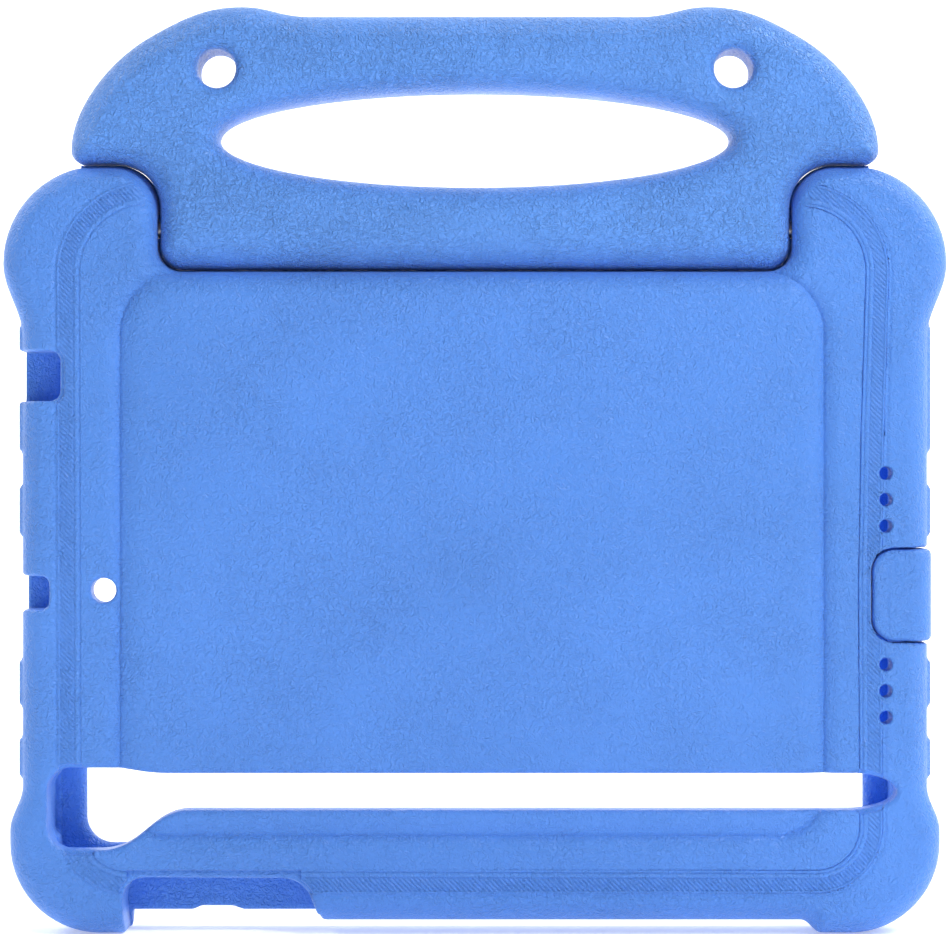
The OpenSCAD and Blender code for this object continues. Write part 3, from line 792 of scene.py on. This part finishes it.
def foam_material(name, color, grain=1.0):
    """Moulded closed-cell foam: a leathery, worm-like grain and slight mottling."""
    material, tree, shader = new_material(name)
    link = tree.links.new
    place = tree.nodes.new("ShaderNodeTexCoord")
    shader.inputs["Specular IOR Level"].default_value = 0.42
    shader.inputs["Sheen Weight"].default_value = 0.12
    shader.inputs["Sheen Roughness"].default_value = 0.5

    worms = add(tree, "ShaderNodeTexNoise", Scale=1150.0, Detail=1.0, Roughness=0.4, Distortion=1.2)
    link(place.outputs["Object"], worms.inputs["Vector"])
    crests = add(tree, "ShaderNodeMapRange")
    crests.inputs["From Min"].default_value = 0.3
    crests.inputs["From Max"].default_value = 0.7
    link(worms.outputs["Fac"], crests.inputs["Value"])

    # the grain is stronger in some patches than in others
    patches = add(tree, "ShaderNodeTexNoise", Scale=38.0, Detail=2.0, Roughness=0.55)
    link(place.outputs["Object"], patches.inputs["Vector"])
    amount = add(tree, "ShaderNodeMapRange")
    amount.inputs["From Min"].default_value = 0.32
    amount.inputs["From Max"].default_value = 0.68
    amount.inputs["To Min"].default_value = 0.5
    amount.inputs["To Max"].default_value = 1.0
    link(patches.outputs["Fac"], amount.inputs["Value"])
    height = tree.nodes.new("ShaderNodeMath")
    height.operation = "MULTIPLY"
    link(crests.outputs["Result"], height.inputs[0])
    link(amount.outputs["Result"], height.inputs[1])

    bump = add(tree, "ShaderNodeBump", Strength=1.0, Distance=0.00042 * grain)
    link(height.outputs[0], bump.inputs["Height"])
    link(bump.outputs["Normal"], shader.inputs["Normal"])

    # colour: broad soft mottling, and painted shade that darkens the grain's valleys
    broad = add(tree, "ShaderNodeTexNoise", Scale=16.0, Detail=3.0, Roughness=0.5)
    link(place.outputs["Object"], broad.inputs["Vector"])
    tint = tree.nodes.new("ShaderNodeValToRGB")
    deep = [c * 0.93 for c in color]
    pale = [min(1.0, c * 1.05 + 0.004) for c in color]
    tint.color_ramp.elements[0].position = 0.3
    tint.color_ramp.elements[0].color = (*deep, 1)
    tint.color_ramp.elements[1].position = 0.7
    tint.color_ramp.elements[1].color = (*pale, 1)
    link(broad.outputs["Fac"], tint.inputs["Fac"])
    mix = tree.nodes.new("ShaderNodeMix")
    mix.data_type = "RGBA"
    mix.blend_type = "MULTIPLY"
    mix.inputs["Factor"].default_value = 1.0
    # painted shade: the base colour is made darker where the grain's height is low, in its valleys
    painted_valley_shade = tree.nodes.new("ShaderNodeValToRGB")
    painted_valley_shade.color_ramp.elements[0].color = (0.93, 0.95, 0.98, 1)
    painted_valley_shade.color_ramp.elements[1].color = (1, 1, 1, 1)
    link(height.outputs[0], painted_valley_shade.inputs["Fac"])
    link(tint.outputs["Color"], mix.inputs["A"])
    link(painted_valley_shade.outputs["Color"], mix.inputs["B"])
    link(mix.outputs["Result"], shader.inputs["Base Color"])

    gloss = add(tree, "ShaderNodeMapRange")
    gloss.inputs["To Min"].default_value = 0.3
    gloss.inputs["To Max"].default_value = 0.42
    link(patches.outputs["Fac"], gloss.inputs["Value"])
    link(gloss.outputs["Result"], shader.inputs["Roughness"])
    return material


def plastic_material(name, color, rough):
    """Moulded plastic with a faint spark-eroded texture."""
    material, tree, shader = new_material(name)
    place = tree.nodes.new("ShaderNodeTexCoord")
    fine = add(tree, "ShaderNodeTexNoise", Scale=2600.0, Detail=2.0)
    tree.links.new(place.outputs["Object"], fine.inputs["Vector"])
    bump = add(tree, "ShaderNodeBump", Strength=0.25, Distance=0.00004)
    tree.links.new(fine.outputs["Fac"], bump.inputs["Height"])
    tree.links.new(bump.outputs["Normal"], shader.inputs["Normal"])
    tint = tree.nodes.new("ShaderNodeValToRGB")
    tint.color_ramp.elements[0].color = (*[c * 0.9 for c in color], 1)
    tint.color_ramp.elements[1].color = (*color, 1)
    tree.links.new(fine.outputs["Fac"], tint.inputs["Fac"])
    tree.links.new(tint.outputs["Color"], shader.inputs["Base Color"])
    shader.inputs["Roughness"].default_value = rough
    return material


def steel_material(name):
    """Drawn steel with fine lines round the pin."""
    material, tree, shader = new_material(name)
    place = tree.nodes.new("ShaderNodeTexCoord")
    stretch = tree.nodes.new("ShaderNodeMapping")
    stretch.inputs["Scale"].default_value = (4000, 300, 300)
    tree.links.new(place.outputs["Object"], stretch.inputs["Vector"])
    lines = add(tree, "ShaderNodeTexNoise", Scale=1.0, Detail=2.0)
    tree.links.new(stretch.outputs["Vector"], lines.inputs["Vector"])
    rough = add(tree, "ShaderNodeMapRange")
    rough.inputs["To Min"].default_value = 0.25
    rough.inputs["To Max"].default_value = 0.4
    tree.links.new(lines.outputs["Fac"], rough.inputs["Value"])
    tree.links.new(rough.outputs["Result"], shader.inputs["Roughness"])
    tint = tree.nodes.new("ShaderNodeValToRGB")
    tint.color_ramp.elements[0].color = (0.5, 0.5, 0.52, 1)
    tint.color_ramp.elements[1].color = (0.68, 0.68, 0.7, 1)
    tree.links.new(lines.outputs["Fac"], tint.inputs["Fac"])
    tree.links.new(tint.outputs["Color"], shader.inputs["Base Color"])
    shader.inputs["Metallic"].default_value = 1.0
    return material


def dress(piece, material):
    piece.data.materials.clear()
    piece.data.materials.append(material)


case_foam = foam_material("case_foam", (0.096, 0.297, 0.86), 0.8)
handle_foam = foam_material("handle_foam", (0.118, 0.345, 0.93), 1.6)
core_plastic = plastic_material("core_plastic", (0.04, 0.04, 0.045), 0.5)
sleeve_plastic = plastic_material("sleeve_plastic", (0.75, 0.75, 0.7), 0.4)
pin_steel = steel_material("pin_steel")

# ---------------------------------------------------------------- the foam pieces

fine = 1.0

case_axes = (
    spaced((-117, -104, 1.0 * fine), (-104, -66, 0.5 * fine), (-66, 66, 2.0),
           (66, 104, 0.5 * fine), (104, 117, 1.0 * fine)),
    spaced((-12, -6, 0.6), (-6, 12, 0.9)),
    spaced((-2, 8, 0.9), (8, 42, 0.55 * fine), (42, 140, 1.0 * fine), (140, 189, 0.55 * fine)),
)
case_skin = moulding("case_skin", case_field, case_axes, 190000)
dress(case_skin, case_foam)
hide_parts("body_shell")
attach(case_skin, "case")

handle_axes = (
    spaced((-101, 101, 0.85 * fine)),
    spaced((-12, 12, 0.85 * fine)),
    spaced((159, 229, 0.75 * fine)),
)
handle_skin = moulding("handle_skin", handle_field, handle_axes, 150000)
dress(handle_skin, handle_foam)
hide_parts("handle_foam")
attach(handle_skin, "handle")

flap_axes = (spaced((94, 114, 0.35)), spaced((-12, 9, 0.4)), spaced((69, 96, 0.4)))
flap_skin = moulding("flap_skin", flap_field, flap_axes, 60000)
dress(flap_skin, case_foam)
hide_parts("port_flap")
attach(flap_skin, "flap")

line, normals = band_line(0.18)
for number, (first, last) in enumerate(stretches_of_band(line), start=1):
    band = ribbed_band(f"ribbed_band_{number}", first, last, line, normals)
    dress(band, case_foam)
    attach(band, "case")

for number, run in enumerate(seam_runs(), start=1):
    web = seam_web(f"seam_web_{number}", run)
    dress(web, case_foam)
    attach(web, "case")

dress(frame["nodes"]["handle_core"], core_plastic)
for side in ("left", "right"):
    dress(frame["nodes"][f"hinge_pin_{side}"], pin_steel)
    dress(frame["nodes"][f"hinge_sleeve_{side}"], sleeve_plastic)

# ---------------------------------------------------------------- studio


def studio():
    """A seamless white sweep: a floor that curves up into a back wall."""
    radius, depth, height, width = 0.5, 1.6, 2.2, 3.0
    profile = [(-2.0, 0.0), (depth - radius, 0.0)]
    for i in range(1, 17):
        a = math.pi / 2 * i / 16
        profile.append((depth - radius + radius * math.sin(a), radius - radius * math.cos(a)))
    profile.append((depth, height))
    points = np.array([(x, y, z) for y, z in profile for x in (-width, width)])
    faces = [(2 * i, 2 * i + 1, 2 * i + 3, 2 * i + 2) for i in range(len(profile) - 1)]
    sweep = new_object("studio_sweep", points / MM, faces)
    sweep.data.shade_smooth()
    material, tree, shader = new_material("white_paper")
    shader.inputs["Base Color"].default_value = (0.93, 0.93, 0.93, 1)
    shader.inputs["Emission Color"].default_value = (1, 1, 1, 1)
    shader.inputs["Emission Strength"].default_value = 0.35
    shader.inputs["Roughness"].default_value = 0.9
    shader.inputs["Specular IOR Level"].default_value = 0.1
    dress(sweep, material)


def area_light(name, place, target, size, power):
    data = bpy.data.lights.new(name, "AREA")
    data.shape = "RECTANGLE"
    data.size, data.size_y = size
    data.energy = power
    light = bpy.data.objects.new(name, data)
    light.location = place
    aim = np.array(target) - np.array(place)
    light.rotation_euler = Vector(aim.tolist()).to_track_quat("-Z", "Y").to_euler()
    bpy.context.scene.collection.objects.link(light)


studio()
middle = (0, 0, 0.1136)
area_light("key", (0.48, -0.52, 0.8), middle, (0.25, 0.25), 5.9)
area_light("fill", (-0.9, -0.9, 0.35), middle, (0.9, 0.9), 1.1)
area_light("top", (0.0, -0.05, 1.1), middle, (0.9, 0.5), 1.5)
area_light("wall_left", (-1.2, 0.5, 1.2), (-0.2, 1.6, 0.3), (0.8, 0.8), 22)
area_light("wall_right", (1.2, 0.5, 1.2), (0.2, 1.6, 0.3), (0.8, 0.8), 22)

world = bpy.data.worlds.new("soft_room")
world.use_nodes = True
world.node_tree.nodes["Background"].inputs["Color"].default_value = (1, 1, 1, 1)
world.node_tree.nodes["Background"].inputs["Strength"].default_value = 0.14
bpy.context.scene.world = world
bpy.context.scene.view_settings.view_transform = "Standard"
bpy.context.scene.view_settings.look = "None"

# The camera looks straight at the back, level with the middle of the case and its handle.
camera_data = bpy.data.cameras.new("camera")
camera_data.sensor_width = 36
camera_distance = 0.8
camera_data.lens = 36 * camera_distance / 0.2329
camera = bpy.data.objects.new("camera", camera_data)
camera.location = (-0.0001, -camera_distance, 0.1136)
camera.rotation_euler = (math.pi / 2, 0, 0)
bpy.context.scene.collection.objects.link(camera)
bpy.context.scene.camera = camera
